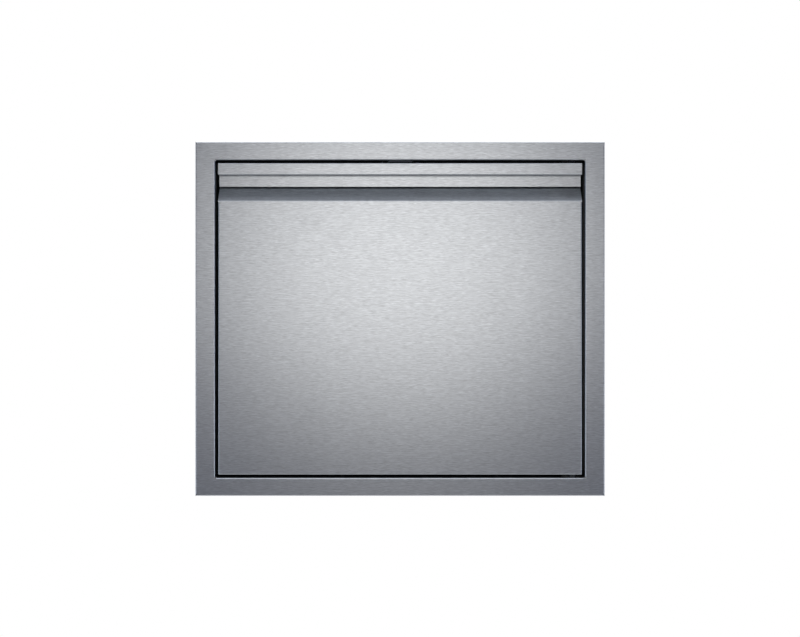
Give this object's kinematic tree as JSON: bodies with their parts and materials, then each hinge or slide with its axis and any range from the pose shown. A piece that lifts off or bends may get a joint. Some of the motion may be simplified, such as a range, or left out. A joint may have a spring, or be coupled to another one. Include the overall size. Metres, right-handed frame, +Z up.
{
  "type": "single access door",
  "caption": "Flush stainless access door for an outdoor kitchen, hung on hidden side pivots in a flanged frame, with a full-width finger pull along its top edge.",
  "frame": {"origin": "centre of the opening, on the plane where the face frame seats on the island", "axes": "+X to the right seen from the front, +Y into the island, +Z up; the front faces -Y"},
  "size_m": [0.6096, 0.089, 0.527],
  "materials": {
    "brushed_stainless": "brushed across, satin",
    "mill_stainless": "cold-rolled, dull",
    "turned_stainless": "turned",
    "pin_steel": "turned, black oxide",
    "fastener_steel": "bright",
    "strike_steel": "black phosphated",
    "spring_steel": "drawn wire",
    "cast_aluminium": "as cast",
    "bush_acetal": "moulded, black",
    "catch_nylon": "moulded, dark grey",
    "ferrite": "sintered, dark",
    "seal_rubber": "extruded, black",
    "bumper_rubber": "moulded, black"
  },
  "bodies": {
    "frame": {"face_frame": "brushed_stainless", "jamb_top": "mill_stainless", "jamb_bottom": "mill_stainless", "jamb_left": "mill_stainless", "jamb_right": "mill_stainless", "upper_pivot_plate": "mill_stainless", "lower_pivot_plate": "mill_stainless", "upper_bush": "bush_acetal", "lower_bush": "bush_acetal", "seal_top": "seal_rubber", "seal_bottom": "seal_rubber", "seal_free_side": "seal_rubber", "seal_hinge_side": "seal_rubber", "stop_bracket_upper": "mill_stainless", "stop_bracket_lower": "mill_stainless", "bumper_upper": "bumper_rubber", "bumper_lower": "bumper_rubber", "bracket_rivets": "fastener_steel", "catch_case": "catch_nylon", "catch_magnet": "ferrite", "catch_poles": "strike_steel", "catch_screws": "fastener_steel"},
    "door": {"door_skin": "brushed_stainless", "pull_rail": "brushed_stainless", "door_liner": "mill_stainless", "liner_screws": "fastener_steel", "hat_stiffener": "mill_stainless", "upper_pin_block": "turned_stainless", "upper_pin": "pin_steel", "pin_block_screws": "fastener_steel", "strike_plate": "strike_steel", "strike_screws": "fastener_steel", "lower_pin_housing": "cast_aluminium", "housing_screws": "fastener_steel", "pin_spring": "spring_steel"},
    "release_pin": {"lower_pin": "pin_steel", "pin_knob": "turned_stainless"}
  },
  "joints": [
    {"name": "door_swing", "type": "hinge", "parent": "frame", "child": "door", "pos_m": [0.2568, 0, 0], "axis": [0, 0, 1], "range_deg": [0, 110]},
    {"name": "pin_retract", "type": "slide", "parent": "door", "child": "release_pin", "axis": [0, 0, 1], "range_m": [0, 0.012], "stiffness_N_per_m": 300, "springref_m": -0.015, "deforming": ["pin_spring"]}
  ]
}
